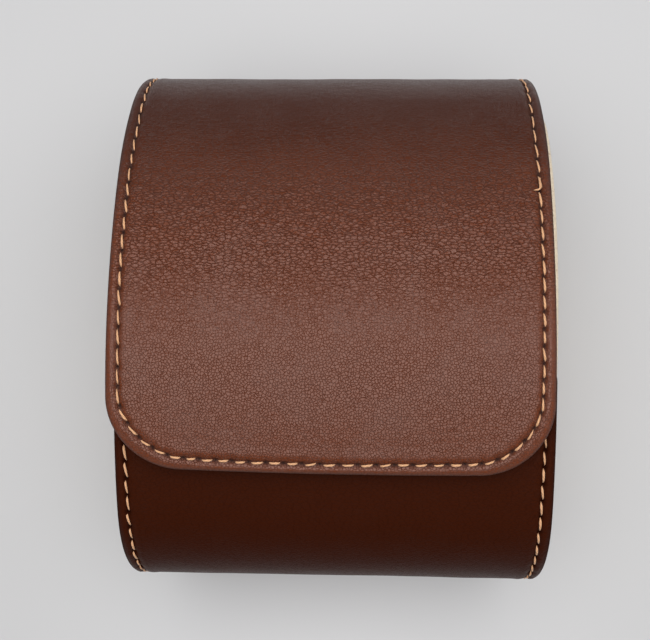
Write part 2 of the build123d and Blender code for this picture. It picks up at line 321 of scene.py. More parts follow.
def make_piece(name, points, faces, uv=None, caps=(), sharp=50, values=None):
    """A mesh object from points in millimetres, welded, with its faces turned outwards. values are
    numbers for its points, kept in the mesh under their names."""
    mesh = bpy.data.meshes.new(name)
    faces = faces if isinstance(faces, list) else faces.tolist()
    mesh.from_pydata((points.reshape(-1, 3) * MM).tolist(), [], faces + [list(c) for c in caps])
    if uv is not None:
        loops = np.empty(len(mesh.loops), np.int64)
        mesh.loops.foreach_get("vertex_index", loops)
        layer = mesh.uv_layers.new(name="UVMap")
        layer.data.foreach_set("uv", (uv.reshape(-1, 2)[loops] * UV_SCALE).astype(np.float32).ravel())
    for key, value in (values or {}).items():
        mesh.attributes.new(key, "FLOAT", "POINT").data.foreach_set("value", value.astype(np.float32))
    work = bmesh.new()
    work.from_mesh(mesh)
    bmesh.ops.remove_doubles(work, verts=work.verts, dist=WELD)
    bmesh.ops.dissolve_degenerate(work, edges=work.edges, dist=SLIVER)
    bmesh.ops.recalc_face_normals(work, faces=work.faces)
    work.to_mesh(mesh)
    work.free()
    mesh.polygons.foreach_set("use_smooth", np.ones(len(mesh.polygons), bool))
    mesh.set_sharp_from_angle(angle=math.radians(sharp))
    piece = bpy.data.objects.new(name, mesh)
    bpy.context.scene.collection.objects.link(piece)
    return piece


def finish_piece(piece, material, body=None, replaces=()):
    """Gives a piece its finish, hides the CAD parts that it replaces and sets the body it rides on."""
    piece.data.materials.append(material)
    if replaces:
        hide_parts(*replaces)
    if body:
        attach(piece, body)


def smooth(t):
    """0 below 0, 1 above 1 and a smooth step between."""
    t = np.clip(t, 0, 1)
    return t * t * (3 - 2 * t)


def bell(distance, width):
    """A bell curve, 1 in the middle and 1/e at width."""
    return np.exp(-(distance / width) ** 2)


def swell(x, s, size):
    """The leather's own unevenness: a few long waves that cross at odd angles, size high."""
    waves = (np.sin(0.163 * x + 0.091 * s + 1.3) * np.sin(0.071 * x - 0.187 * s + 0.4)
             + 0.6 * np.sin(0.37 * x + 0.12 * s) * np.sin(0.29 * s - 0.21 * x + 2.0)
             + 0.35 * np.sin(0.62 * x - 0.31 * s + 0.7) * np.sin(0.55 * s + 1.1))
    return size * waves


class Outline:
    """The edge of a strip: up one side, round its free end and back down the other side.

    Its points are close together and each has its outward normal in the plane of X and s, so a line at
    any inset is the edge less the inset times the normal. The straight sides and the free end are cut
    into groups of points, and only the first of each group is carried across the strip.
    """
    GROUP = 3

    def __init__(self, half_width, start, stop, corner, spacing=0.36):
        reach = half_width - corner
        self.side = self.GROUP * round((stop - corner - start) / spacing / self.GROUP)
        self.turn = 2 * max(4, round(math.pi / 2 * corner / spacing / 2))
        self.across = 2 * self.GROUP * round(reach / spacing / self.GROUP)
        straight = np.linspace(start, stop - corner, self.side + 1)
        turn = np.linspace(0, math.pi / 2, self.turn + 1)[1:]
        half = np.linspace(-reach, 0, self.across // 2 + 1)[1:]
        x = np.concatenate([np.full_like(straight, -half_width), -reach - corner * np.cos(turn), half])
        s = np.concatenate([straight, stop - corner + corner * np.sin(turn), np.full_like(half, stop)])
        normal_x = np.concatenate([np.full_like(straight, -1), -np.cos(turn), np.zeros_like(half)])
        normal_s = np.concatenate([np.zeros_like(straight), np.sin(turn), np.ones_like(half)])
        self.x = np.concatenate([x, -x[-2::-1]])
        self.s = np.concatenate([s, s[-2::-1]])
        self.normal_x = np.concatenate([normal_x, -normal_x[-2::-1]])
        self.normal_s = np.concatenate([normal_s, normal_s[-2::-1]])

    def rows(self):
        """The points of one side, up to the end of its corner, that rows start from."""
        return np.concatenate([np.arange(0, self.side, self.GROUP),
                               np.arange(self.side, self.side + self.turn + 1, 2)])

    def columns(self):
        """The points of the free end that columns start from."""
        return self.side + self.turn + np.arange(0, self.across + 1, self.GROUP)

    def inset(self, inset):
        """X and s of the lines at an inset: one row for each point, one column for each line."""
        inset = np.atleast_1d(np.asarray(inset, float))
        if inset.ndim == 1:
            inset = np.broadcast_to(inset, (self.x.size, inset.size))
        return (self.x[:, None] - inset * self.normal_x[:, None],
                self.s[:, None] - inset * self.normal_s[:, None])


class Seam:
    """A row of holes and stitches that follows an outline.

    For each point of the outline it holds the inset, which widens round a corner, the local distance from
    hole to hole, and the count of holes walked so far, which is that distance's reciprocal summed along
    the line. pitches and shares are (place, value) pairs, where place runs from 0 at the start to 1 at
    the corner, 2 at its end, 3 at the far corner, 4 at its end and 5 at the far end.
    """

    def __init__(self, outline, inset, widening, pitches, shares):
        count = outline.x.size
        corner, turned = outline.side, outline.side + outline.turn
        marks = [0, corner, turned, count - 1 - turned, count - 1 - corner, count - 1]
        place = np.interp(np.arange(count), marks, range(6))
        spread = 0.55
        self.inset = inset + widening * (bell(place - 1.5, spread) + bell(place - 3.5, spread))
        self.x = outline.x - self.inset * outline.normal_x
        self.s = outline.s - self.inset * outline.normal_s
        self.pitch = np.interp(place, *zip(*pitches))
        self.share = np.interp(place, *zip(*shares))
        steps = np.hypot(np.diff(self.x), np.diff(self.s)) / (self.pitch[1:] + self.pitch[:-1]) * 2
        self.holes = np.concatenate([[0], np.cumsum(steps)])
        self.holes *= round(self.holes[-1]) / self.holes[-1]
        self.place = place

    def to_hole(self):
        """The distance along the seam from each point of the outline to its nearest hole."""
        return np.abs((self.holes + 0.5) % 1.0 - 0.5) * self.pitch


def face_grid(outline, line, x, s, first_id):
    """The face inside an outline's inner line, as straight rows from one side to the other.

    Row and column ends are the line's own points, and the last row is the free end's. A place in a row is
    its two ends mixed in the share that the same column has along the free end. Gives the new points and
    the polygons, which take in the points that the rows and columns skip.
    """
    rows, columns = outline.rows(), outline.columns()
    count = line.size
    share = (x[columns] - x[columns[0]]) / (x[columns[-1]] - x[columns[0]])
    left, right = x[rows[:-1]], x[count - 1 - rows[:-1]]
    new_x = left[:, None] + (right - left)[:, None] * share[None, 1:-1]
    new_s = np.broadcast_to(s[rows[:-1]][:, None], new_x.shape)
    grid = np.empty((rows.size, columns.size), int)
    grid[:, 0], grid[:, -1], grid[-1] = line[rows], line[count - 1 - rows], line[columns]
    grid[:-1, 1:-1] = first_id + np.arange(new_x.size).reshape(new_x.shape)
    inner = grid[:-1, 1:-1].ravel()
    polygons = inner[grid_faces(rows.size - 1, columns.size - 2)].tolist()
    for row, (low, high) in enumerate(zip(rows[:-2], rows[1:-1])):
        polygons.append([*line[low:high + 1], grid[row + 1, 1], grid[row, 1]])
        polygons.append([*line[count - 1 - high:count - low], grid[row, -2], grid[row + 1, -2]])
    for column, (low, high) in enumerate(zip(columns[1:-2], columns[2:-1]), 1):
        polygons.append([*line[low:high + 1], grid[-2, column + 1], grid[-2, column]])
    polygons.append([*line[rows[-2]:columns[1] + 1], grid[-2, 1]])
    polygons.append([*line[columns[-2]:count - rows[-2]], grid[-2, -2]])
    return new_x, new_s, polygons, grid[0, 1:-1]


def strip_piece(name, course, outline, insets, heights, upper, lower, uv_sign=1, shades=None):
    """A closed strip of material on a course, as a profile carried along an outline, with two faces.

    The profile's columns, insets and heights, run from an inner line on the upper face, out round the
    edge and in to the inner line of the lower face. upper and lower give a face's height at X and s.
    shades are further values of the profile's points, kept in the mesh under their names.
    """
    x, s = outline.inset(insets)
    count, width = x.shape
    ids = np.arange(count * width).reshape(count, width)
    all_x, all_s, all_h = [x.ravel()], [s.ravel()], [np.broadcast_to(heights, x.shape).ravel()]
    polygons = grid_faces(count, width).tolist()
    ends = []
    size = x.size
    for column, height in ((0, upper), (-1, lower)):
        new_x, new_s, more, end = face_grid(outline, ids[:, column], x[:, column], s[:, column], size)
        size += new_x.size
        all_x.append(new_x.ravel())
        all_s.append(new_s.ravel())
        all_h.append(np.broadcast_to(height(new_x, new_s), new_x.shape).ravel())
        polygons += more
        ends.append(end)
    polygons.append([*ids[0], *ends[1], *ids[-1, ::-1], *ends[0][::-1]])
    all_x, all_s, all_h = (np.concatenate(part) for part in (all_x, all_s, all_h))
    uv = np.stack([all_x, uv_sign * all_s], -1)
    values = {key: np.concatenate([np.broadcast_to(value, x.shape).ravel(), np.zeros(size - x.size)])
              for key, value in (shades or {}).items()}
    return make_piece(name, course.wrap(all_x, all_s, all_h), polygons, uv, values=values)


def seam_relief(off, near, groove):
    """The leather's height at a distance off a seam's line, and near its nearest hole: a low bank on both
    sides, less a channel that is shallowest under the middle of a stitch, a dimple at each hole and a
    slight pucker beside it."""
    banks = 0.11 * bell(off + 0.95, 0.50) + 0.10 * bell(off - 1.5, 0.9)
    channel = groove * bell(off, 0.50) * (1 - 0.35 * smooth(near / 1.2))
    dimple = 1.1 * groove * bell(off, 0.34) * bell(near, 0.36)
    pucker = 0.05 * bell(np.abs(off) - 0.75, 0.45) * bell(near, 0.7)
    return banks - channel - dimple - pucker


# A turned edge's profile, in millimetres
RIM_REACH = 1.1            # how far in from the outline the rim's upper quarter ellipse starts
RIM_DROP = 0.75            # how far down it ends
RIM_STEPS = 9              # its points
UNDER_REACH = 0.85         # how far in the lower quarter ellipse ends
TURNED_IN = 1.6            # how far in the turned edge reaches on the back
RELIEF_REACH = 3.6         # how far in a seam's relief reaches


def turned_strip(name, course, outline, thickness, leather, seam=None, inner=6.4, groove=0.36, bulge=0.05,
                 uv_sign=1):
    """A strip of leather whose edge is turned round to the back.

    From the inner line the profile goes out over the seam, round the rim as two quarter ellipses that
    bulge past the outline, in under the turned edge, up to the leather's own back and in to the inner
    line again. thickness and bulge are a number, or one for each point of the outline. The mesh keeps
    three values that paint light and shade into the colour: holes, painted shade at the needle holes; groove,
    painted shade in the seam's channel, which also grows down the outer side of the turned edge and under it;
    and rim, a painted highlight along the top of the rim.
    """
    thick = np.broadcast_to(np.asarray(thickness, float), outline.x.shape)[:, None]
    bulge = np.broadcast_to(np.asarray(bulge, float), outline.x.shape)[:, None]
    drop = np.minimum(RIM_DROP, 0.5 * thick)
    fall = np.linspace(math.pi / 2, 0, RIM_STEPS)[None, :]
    under = np.linspace(0, math.pi / 2, RIM_STEPS - 1)[None, 1:]
    near_edge = min(RELIEF_REACH, inner - 0.15)
    far = np.linspace(inner, near_edge, 6)[:-1] if inner > near_edge + 0.4 else [inner]
    zone = np.concatenate([far, np.linspace(near_edge, RIM_REACH + 0.15, 18)])
    zone = np.broadcast_to(zone, (outline.x.size, zone.size))
    zone_end = zone.shape[1]
    rim_end = zone_end + RIM_STEPS
    rim_inset = RIM_REACH - (RIM_REACH + bulge) * np.cos(fall)
    rim_height = -drop * (1 - np.sin(fall))
    low_inset = UNDER_REACH - (UNDER_REACH + bulge) * np.cos(under)
    low_height = -drop - (thick - drop) * np.sin(under)
    back_inset = np.broadcast_to([1.2, TURNED_IN, TURNED_IN + 0.01, inner], (outline.x.size, 4))
    insets = np.concatenate([zone, rim_inset, low_inset, back_inset], 1)
    zone_height, holes, dark = np.zeros_like(zone), np.zeros_like(insets), np.zeros_like(insets)
    if seam:
        near = seam.to_hole()[:, None]
        off = insets - seam.inset[:, None]
        zone_height = seam_relief(off[:, :zone_end], near, groove)
        rim_height = rim_height + seam_relief(off[:, zone_end:rim_end], near, groove) * np.sin(fall) ** 2
        on_top = np.arange(insets.shape[1]) < zone_end + 3
        # Painted shade in the seam's channel (kept as groove) and at the needle holes (kept as holes)
        dark = on_top * bell(off, 0.36)
        holes = on_top * bell(off, 0.32) * bell(near, 0.32)
    # Painted shade down the outer side of the turned edge and under it, also kept as groove
    dark[:, rim_end - 6:rim_end] = [0.15, 0.45, 0.85, 1.2, 1.5, 1.6]
    dark[:, rim_end:] = 1.6
    heights = np.concatenate([zone_height, rim_height, low_height, -thick, -thick,
                              np.full_like(thick, -leather), np.full_like(thick, -leather)], 1)
    # A painted highlight along the top of the rim, kept as rim
    painted_rim_highlight = np.zeros_like(insets)
    painted_rim_highlight[:, zone_end - 1:rim_end] = bell(np.linspace(-0.7, 2.0, RIM_STEPS + 1), 0.8)

    def upper(x, s):
        return swell(x, uv_sign * s, 0.045) * smooth((HALF_WIDTH - np.abs(x)) / 9)

    x, s = outline.inset(insets)
    on_face = heights > -0.45
    heights = heights + on_face * upper(x, s)
    return strip_piece(name, course, outline, insets, heights, upper, lambda x, s: -leather + 0 * x,
                       uv_sign, {"holes": holes, "groove": dark, "rim": painted_rim_highlight})


# ---------------------------------------------------------------- thread

def seam_frames(course, seam, first, last):
    """Where the stitches lie whose place along the seam is from first to last: their middles, directions
    along the seam and across it, normals, pitches and shares of the pitch that they show."""
    middles = np.arange(round(seam.holes[-1])) + 0.5
    place = np.interp(middles, seam.holes, seam.place)
    middles = middles[(place >= first) & (place < last)]

    def spot(holes):
        return course.wrap(np.interp(holes, seam.holes, seam.x), np.interp(holes, seam.holes, seam.s), 0.0)

    middle = spot(middles)
    along = spot(middles + 0.25) - spot(middles - 0.25)
    along /= np.linalg.norm(along, axis=1, keepdims=True)
    normal_y, normal_z = course.at(np.interp(middles, seam.holes, seam.s))[2:]
    normal = np.stack([np.zeros_like(normal_y), normal_y, normal_z], 1)
    normal -= (normal * along).sum(1, keepdims=True) * along
    normal /= np.linalg.norm(normal, axis=1, keepdims=True)
    pitch, share, place = (np.interp(middles, seam.holes, value)[:, None, None]
                           for value in (seam.pitch, seam.share, seam.place))
    return (middle, along, np.cross(normal, along), normal), pitch * share, place


def stitch_row(name, course, seam, seams, sink, seed, first=0, last=6):
    """A row of stitches. Each one is a tube along t from -1 to 1 whose middle line rises out of one hole
    and dives into the next. It lies askew, its width tapers to both ends, and it is thickest towards the
    free end's side."""
    (middle, along, across, normal), length, place = seam_frames(course, seam, first, last)
    rng = np.random.default_rng(seed)
    count = len(middle)

    def vary(usual, spread):
        """A number for each stitch, spread about the usual one."""
        return usual + spread * rng.standard_normal((count, 1, 1))

    t = np.linspace(-1, 1, 9)[None, :, None]
    turn = np.linspace(0, 2 * math.pi, 8, endpoint=False)[None, None, :]
    half = 0.5 * length * vary(1, 0.05)
    tilt = vary(math.radians(6), math.radians(3))
    radius = 0.5 * seams.thread * vary(1, 0.07)
    from_end = np.abs(place - 2.5)                    # the sides' stitches show a thinner thread
    radius = radius * (1 - 0.25 * smooth((from_end - 1.72) / 0.15))
    heavy = 0.28 * np.clip(2.5 - place, -1, 1)
    radius = radius * np.sqrt(np.clip(1.02 - np.abs(t) ** 2.6, 0.02, 1)) * (1 + heavy * t)
    rise = sink + 0.20 * (1 - np.abs(t) ** 2.4) - 0.34 * np.abs(t) ** 5
    side = half * t * np.sin(tilt) + vary(0, 0.04) + radius * np.cos(turn)
    forward = half * t * np.cos(tilt) + 0.0 * turn
    flattened = 0.82
    up = rise + flattened * radius * np.sin(turn)
    points = (middle[:, None, None, :] + forward[..., None] * along[:, None, None, :]
              + side[..., None] * across[:, None, None, :] + up[..., None] * normal[:, None, None, :])
    rings, sides = t.shape[1], turn.shape[2]
    tube = grid_faces(rings, sides, close_columns=True)
    faces = (tube[None] + (np.arange(count) * rings * sides)[:, None, None]).reshape(-1, 4)
    uv = np.broadcast_arrays(t * half, turn / (2 * math.pi), points[..., 0])[:2]
    ends = [np.arange(sides) + i * rings * sides + j * sides for i in range(count) for j in (0, rings - 1)]
    return make_piece(name, points, faces, np.stack(uv, -1), ends, sharp=75)


# ---------------------------------------------------------------- shader maths

class Socket:
    """A shader socket holding a number, so that maths can be written as an expression."""

    def __init__(self, finish, socket):
        self.finish = finish
        self.socket = socket

    def math(self, operation, *others):
        return self.finish.node("ShaderNodeMath", {"operation": operation}, self, *others)

    def __add__(self, other):
        return self.math("ADD", other)

    def __rsub__(self, other):
        return self.finish.node("ShaderNodeMath", {"operation": "SUBTRACT"}, other, self)

    def __mul__(self, other):
        return self.math("MULTIPLY", other)

    def clip(self):
        """The number, kept from 0 to 1."""
        return self.finish.node("ShaderNodeMath", {"operation": "ADD", "use_clamp": True}, self, 0.0)

    __radd__ = __add__
    __rmul__ = __mul__


class Finish:
    """A material under construction."""

    def __init__(self, name):
        self.material = bpy.data.materials.new(name)
        self.material.use_nodes = True
        self.tree = self.material.node_tree
        self.shader = self.tree.nodes["Principled BSDF"]

    def node(self, kind, settings=None, *values, output=0, **named):
        """Adds a node, sets its settings, fills its sockets in order or by name, and gives an output."""
        made = self.tree.nodes.new(kind)
        for key, value in (settings or {}).items():
            setattr(made, key, value)
        for key, value in list(enumerate(values)) + [(k.replace("_", " "), v) for k, v in named.items()]:
            self.fill(made.inputs[key], value)
        return Socket(self, made.outputs[output])

    def fill(self, target, value):
        if isinstance(value, Socket):
            self.tree.links.new(value.socket, target)
        elif isinstance(value, (tuple, list)) and len(value) == 3 and target.type == "RGBA":
            target.default_value = (*value, 1)
        else:
            target.default_value = value

    def surface(self):
        """The piece's own UV map, in millimetres."""
        uv = self.node("ShaderNodeUVMap", {"uv_map": "UVMap"})
        return self.node("ShaderNodeVectorMath", {"operation": "SCALE"}, uv, Scale=1 / UV_SCALE)

    def place(self):
        """The place in the case, in millimetres."""
        point = self.node("ShaderNodeTexCoord", output="Object")
        return self.node("ShaderNodeVectorMath", {"operation": "SCALE"}, point, Scale=1 / MM)

    def axis(self, point, name):
        """One coordinate of a point: X, Y or Z."""
        return self.node("ShaderNodeSeparateXYZ", None, point, output=name)

    def kept(self, name):
        """A value that the mesh keeps for its points."""
        return self.node("ShaderNodeAttribute", {"attribute_name": name}, output="Fac")

    def stretched(self, point, x, y, z=1.0):
        """A point whose coordinates are multiplied, so that a pattern on it is drawn out or pressed."""
        return self.node("ShaderNodeVectorMath", {"operation": "MULTIPLY"}, point, (x, y, z))

    def moved(self, point, by, size):
        """A point pushed about by a noise's colour, from -size to size each way."""
        push = self.node("ShaderNodeVectorMath", {"operation": "SUBTRACT"}, by, (0.5, 0.5, 0.5))
        push = self.node("ShaderNodeVectorMath", {"operation": "SCALE"}, push, Scale=2 * size)
        return self.node("ShaderNodeVectorMath", {"operation": "ADD"}, point, push)

    def noise(self, point, size, detail=3.0, rough=0.55, output="Fac", flat=False):
        """Noise whose features are about size millimetres across."""
        return self.node("ShaderNodeTexNoise", {"noise_dimensions": "2D" if flat else "3D"}, output=output,
                         Vector=point, Scale=1 / size, Detail=detail, Roughness=rough)

    def cells(self, point, size, feature="F1", flat=False):
        """The distances in a pattern of cells about size millimetres across."""
        return self.node("ShaderNodeTexVoronoi",
                         {"voronoi_dimensions": "2D" if flat else "3D", "feature": feature},
                         output="Distance", Vector=point, Scale=1 / size, Randomness=1.0)

    def ramp(self, value, low, high):
        """0 below low, 1 above high."""
        return self.node("ShaderNodeMapRange", {"interpolation_type": "SMOOTHSTEP"}, value, low, high)

    def band(self, value, rise, fall):
        """0 below the rise and above the fall, 1 between them. Each is a low and a high value."""
        return self.ramp(value, *rise) * (1 - self.ramp(value, *fall))

    def mix(self, share, first, second):
        """A colour between two colours. Those are a Mix node's inputs 6 and 7, and its output 2."""
        made = self.tree.nodes.new("ShaderNodeMix")
        made.data_type = "RGBA"
        for number, value in ((0, share), (6, first), (7, second)):
            self.fill(made.inputs[number], value)
        return Socket(self, made.outputs[2])

    def bump(self, height, size):
        """A normal from a height whose 0 to 1 is size millimetres."""
        return self.node("ShaderNodeBump", None, Height=height, Distance=size * MM, Strength=1.0)

    def set(self, **values):
        """Fills the shader's own sockets, and gives the material."""
        for key, value in values.items():
            self.fill(self.shader.inputs[key.replace("_", " ")], value)
        return self.material


def tint(colour, share):
    """A colour made lighter or darker by a share."""
    return tuple(min(1.0, c * share) for c in colour)


def leather_finish(name, colours, gloss=0.50):
    """Coated leather: rounded pebbles with narrow valleys between them, drawn out into long fine creases
    where it bends over the two ends. Painted shade darkens it by the lower end, over the upper bend, in the
    groove and the needle holes of a seam and down its turned edge, and a painted highlight lightens the top
    of its rim. Its places are distances s from the split: above 0 on the flap, and below 0 on the shell."""
    f = Finish(name)
    uv = f.surface()
    along = f.axis(uv, "Y")
    bent = f.moved(uv, f.noise(uv, 0.8, 3.0, 0.6, "Color", flat=True), 0.36)
    broad = f.noise(uv, 11.0, 3.0, 0.6, flat=True)
    clump = f.noise(uv, 1.3, 2.0, 0.5, flat=True)
    fine = f.noise(uv, 0.17, 2.0, 0.6, flat=True)
    drawn = f.stretched(bent, 0.46, 1.0, 1.0)
    gaps = f.ramp(f.cells(bent, 0.50, "DISTANCE_TO_EDGE", flat=True), 0.0, 0.17)
    creases = f.ramp(f.cells(drawn, 0.52, "DISTANCE_TO_EDGE", flat=True), 0.0, 0.18)
    edge_wave = along + broad * 9.0
    bend = f.band(edge_wave, (76.0, 88.0), (112.0, 136.0))
    wall = f.band(edge_wave, (-122.0, -104.0), (-86.0, -72.0))
    drawn_out = (bend * 0.85 + wall * 0.8).clip()
    grain = gaps * (1 - drawn_out) + creases * drawn_out
    soft = 1 - 0.45 * wall
    pressed = f.band(along, (88.0, 100.0), (106.0, 124.0))
    patchy = 0.78 + 0.44 * f.ramp(broad, 0.30, 0.66)
    pebbles = grain * (0.5 + clump * 1.0) + clump * 0.8 + fine * 0.12
    relief = pebbles * soft * (0.62 + pressed * 0.85) * patchy
    valley = (1 - grain) * soft
    # holes and groove carry painted shade, rim a painted highlight
    holes, groove, rim = f.kept("holes"), f.kept("groove"), f.kept("rim")
    colour = f.mix((valley * 0.70).clip(), tuple(colours.leather), tuple(colours.leather_dark))
    colour = f.mix(f.ramp(broad, 0.3, 0.75) * 0.22, colour, tint(colours.leather, 1.30))
    colour = f.mix(fine * 0.22, colour, tint(colours.leather, 0.70))
    # Painted highlight along the top of the rim
    colour = f.mix(rim * (0.15 + clump * 0.15), colour, tint(colours.leather, 1.25))
    # Painted shade: darker towards the lower end and over the upper bend
    painted_shade_lower_end = 1 - f.ramp(along + broad * 14.0, -88.0, -40.0)
    painted_shade_upper_bend = f.ramp(along, 40.0, 66.0) * (1 - f.ramp(along + broad * 6.0, 80.0, 112.0))
    colour = f.mix((painted_shade_lower_end * 0.91 + painted_shade_upper_bend * 0.74).clip(), colour, tint(colours.leather_dark, 0.9))
    # Painted shade: the valleys darker still towards the lower end
    colour = f.mix(valley * painted_shade_lower_end * 0.5, colour, tint(colours.leather_dark, 0.4))
    # Painted shade in the seams' channels, at the needle holes and down and under the turned edges
    colour = f.mix((groove * 0.45 + holes * 0.6).clip(), colour, tint(colours.leather_dark, 0.35))
    rough = (0.30 + broad * 0.06 + valley * 0.20 + groove * 0.25 + holes * 0.4).clip()
    return f.set(Base_Color=colour, Roughness=rough, Normal=f.bump(relief, 0.085),
                 Specular_IOR_Level=gloss)


def dull_leather_finish(name, colours):
    """The same leather with little gloss."""
    return leather_finish(name, colours, gloss=0.03)


def suede_finish(name, colours):
    """Suede: short fibres that lean about in soft patches, with a few brown flecks, most of them on the
    sleeve's right-hand rim."""
    f = Finish(name)
    point = f.place()
    nap = f.noise(point, 0.28, 4.0, 0.65)
    patch = f.noise(point, 5.0, 3.0, 0.6)
    rim = f.ramp(f.axis(point, "X"), 36.5, 38.0)
    fleck = f.ramp(f.noise(point, 0.55, 2.0, 0.5) + rim * 0.07, 0.67, 0.74)
    base = tuple(colours.suede)
    colour = f.mix(f.ramp(patch, 0.35, 0.7) * 0.35, base, tint(base, 0.84))
    colour = f.mix(f.ramp(nap, 0.3, 0.7) * 0.3, colour, tint(base, 0.70))
    colour = f.mix(fleck * 0.55, colour, (base[0] * 0.50, base[1] * 0.36, base[2] * 0.24))
    return f.set(Base_Color=colour, Roughness=0.95, Normal=f.bump(nap, 0.10), Sheen_Weight=0.35,
                 Sheen_Roughness=0.5, Specular_IOR_Level=0.2)


def thread_finish(name, colours):
    """Twisted thread: slanting plies along each stitch, darker in between."""
    f = Finish(name)
    uv = f.surface()
    along, around = f.axis(uv, "X"), f.axis(uv, "Y")
    plies = (along * 7.5 + around * 4 * math.pi).math("SINE") * 0.5 + 0.5
    fuzz = f.noise(f.place(), 0.10, 3.0, 0.6)
    colour = f.mix(plies * 0.7, tint(colours.thread, 0.66), tuple(colours.thread))
    colour = f.mix(fuzz * 0.25, colour, tint(colours.thread, 0.8))
    return f.set(Base_Color=colour, Roughness=0.6, Normal=f.bump(plies, 0.04), Sheen_Weight=0.2,
                 Specular_IOR_Level=0.4)


def metal_finish(name, colour, rough):
    """Stamped metal with fine turning marks and dull patches."""
    f = Finish(name)
    point = f.place()
    marks = f.noise(f.stretched(point, 0.4, 5.0, 5.0), 0.3, 3.0, 0.6)
    dull = f.noise(point, 1.6, 3.0, 0.6)
    shade = f.mix(dull * 0.4, colour, tint(colour, 0.72))
    return f.set(Base_Color=shade, Metallic=1.0, Roughness=rough + dull * 0.18, Normal=f.bump(marks, 0.006))


def brass_finish(name, colours):
    """The press fastener's brass."""
    return metal_finish(name, (0.66, 0.49, 0.25), 0.26)


def steel_finish(name, colours):
    """The wire of the fastener's spring."""
    return metal_finish(name, (0.62, 0.62, 0.62), 0.3)


def board_finish(name, colours):
    """Grey board: pressed fibres and specks."""
    f = Finish(name)
    point = f.place()
    fibres = f.noise(f.stretched(point, 0.5, 1.4, 1.4), 0.5, 4.0, 0.7)
    speck = f.ramp(f.noise(point, 0.35, 1.0, 0.5), 0.66, 0.74)
    colour = f.mix(fibres, (0.30, 0.25, 0.19), (0.46, 0.41, 0.34))
    colour = f.mix(speck * 0.6, colour, (0.16, 0.12, 0.09))
    return f.set(Base_Color=colour, Roughness=0.9, Normal=f.bump(fibres, 0.05))


def foam_finish(name, colours):
    """Open-celled foam."""
    f = Finish(name)
    pores = f.ramp(f.cells(f.place(), 0.7), 0.15, 0.5)
    colour = f.mix(pores, (0.78, 0.75, 0.62), (0.55, 0.52, 0.41))
    return f.set(Base_Color=colour, Roughness=0.95, Normal=f.bump(1 - pores, 0.15))


def plate_finish(name, colours):
    """Black moulded sheet."""
    f = Finish(name)
    grain = f.noise(f.place(), 0.35, 2.0, 0.5)
    colour = f.mix(grain, (0.018, 0.018, 0.02), (0.04, 0.04, 0.042))
    return f.set(Base_Color=colour, Roughness=0.5 + grain * 0.15, Normal=f.bump(grain, 0.02))


FINISHES = {"pebbled leather": leather_finish, "dull leather": dull_leather_finish,
            "napped suede": suede_finish, "twisted thread": thread_finish, "stamped brass": brass_finish,
            "spring wire": steel_finish, "grey board": board_finish, "open foam": foam_finish,
            "moulded sheet": plate_finish}


def finish(context, name):
    """One of the finishes, made the first time that it is asked for."""
    return bpy.data.materials.get(name) or FINISHES[name](name, context.scene.watch_colours)


# ---------------------------------------------------------------- the pieces, one operator each

# The flap bends between these two places
BLEND_START = (0.0, HINGE_Y * MM, (HINGE_Z - 2.5) * MM)
BLEND_END = (0.0, HINGE_Y * MM, (HINGE_Z + 1.0) * MM)


def across_hinge(piece):
    """Bakes the piece's transform into its mesh; the piece is not made to bend at the hinge."""
    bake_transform(piece)


def flap_outline(sizes):
    """The flap's course and its outline, whose free end bows and slants a little."""
    course = flap_course(sizes)
    outline = Outline(HALF_WIDTH, 0, course.length, sizes.flap_corner)
    across = outline.x / HALF_WIDTH
    bowed = 24                 # the length of flap that the bow and the slant reach back over
    reach = smooth((outline.s - course.length + bowed) / bowed)
    outline.s = outline.s + reach * (sizes.flap_bow * (1 - across ** 2) + sizes.flap_slant * across)
    return course, outline


def edge_bulge(sizes, outline, bend):
    """How far a turned edge bulges past its outline: most where it bends over an end wall, at s = bend."""
    everywhere, spread = 0.05, 15.0
    return everywhere + sizes.edge_swell * bell(outline.s - bend, spread)


def flap_seam(outline, seams):
    """The flap's seam. Its stitches are longest up the right side, and closest at the corners."""
    pitch, side, end = seams.pitch, seams.side_share, seams.end_share
    corner = 0.5 * (side + end)
    pitches = ((0, 1.19), (1, 1.17), (2, 0.93), (2.55, 1.12), (3, 0.97), (4, 0.96), (4.2, 1.09),
               (4.36, 1.30), (5, 1.30))
    return Seam(outline, seams.inset, 0.95, [(place, factor * pitch) for place, factor in pitches],
                [(0, side), (0.9, side), (1.5, corner), (2, end), (3, end), (3.5, corner), (4.2, side),
                 (5, side)])


def shell_seam(outline, seams):
    """The seam along the shell's two sides and its front edge."""
    pitch, side, end = seams.pitch, seams.side_share, seams.end_share
    pitches = ((0, 1.13), (1, 1.13), (2, 1), (3, 1), (4, 1.10), (5, 1.10))
    return Seam(outline, seams.inset, 0.0, [(place, factor * pitch) for place, factor in pitches],
                [(0, side), (1, side), (2, end), (3, end), (4, side), (5, side)])


def root_distance(sizes):
    """The distance from the split to the hinge, along the leather."""
    return HINGE_Y - HINGE_Z - sizes.split_y + math.pi / 2 * HINGE_Z


def snap_frame(sizes):
    """Y and Z of the press fastener's centre on the shell's leather, and its axis."""
    low, high = node_box("snap_stud")
    radius, centre = crown_shape(sizes)[:2]
    stud_height = 0.3          # of the stud's middle, over the leather
    turn = math.acos((low[1] + high[1]) / 2 / (radius + stud_height))
    return radius * math.cos(turn), centre + radius * math.sin(turn), math.cos(turn), math.sin(turn)


def bore(piece, sizes, radius, low, high):
    """Cuts a round hole in a piece about the fastener's axis, between two heights above the shell."""
    y, z, axis_y, axis_z = snap_frame(sizes)
    sides = 64
    turn = np.linspace(0, 2 * math.pi, sides, endpoint=False)[None, :]
    height = np.array([low, high])[:, None]
    points = np.stack(np.broadcast_arrays(
        radius * np.cos(turn), y + height * axis_y - radius * np.sin(turn) * axis_z,
        z + height * axis_z + radius * np.sin(turn) * axis_y), -1)
    caps = [np.arange(sides), sides + np.arange(sides)]
    cut_away(piece, make_piece("hole_cutter", points, grid_faces(2, sides, close_columns=True), None, caps))


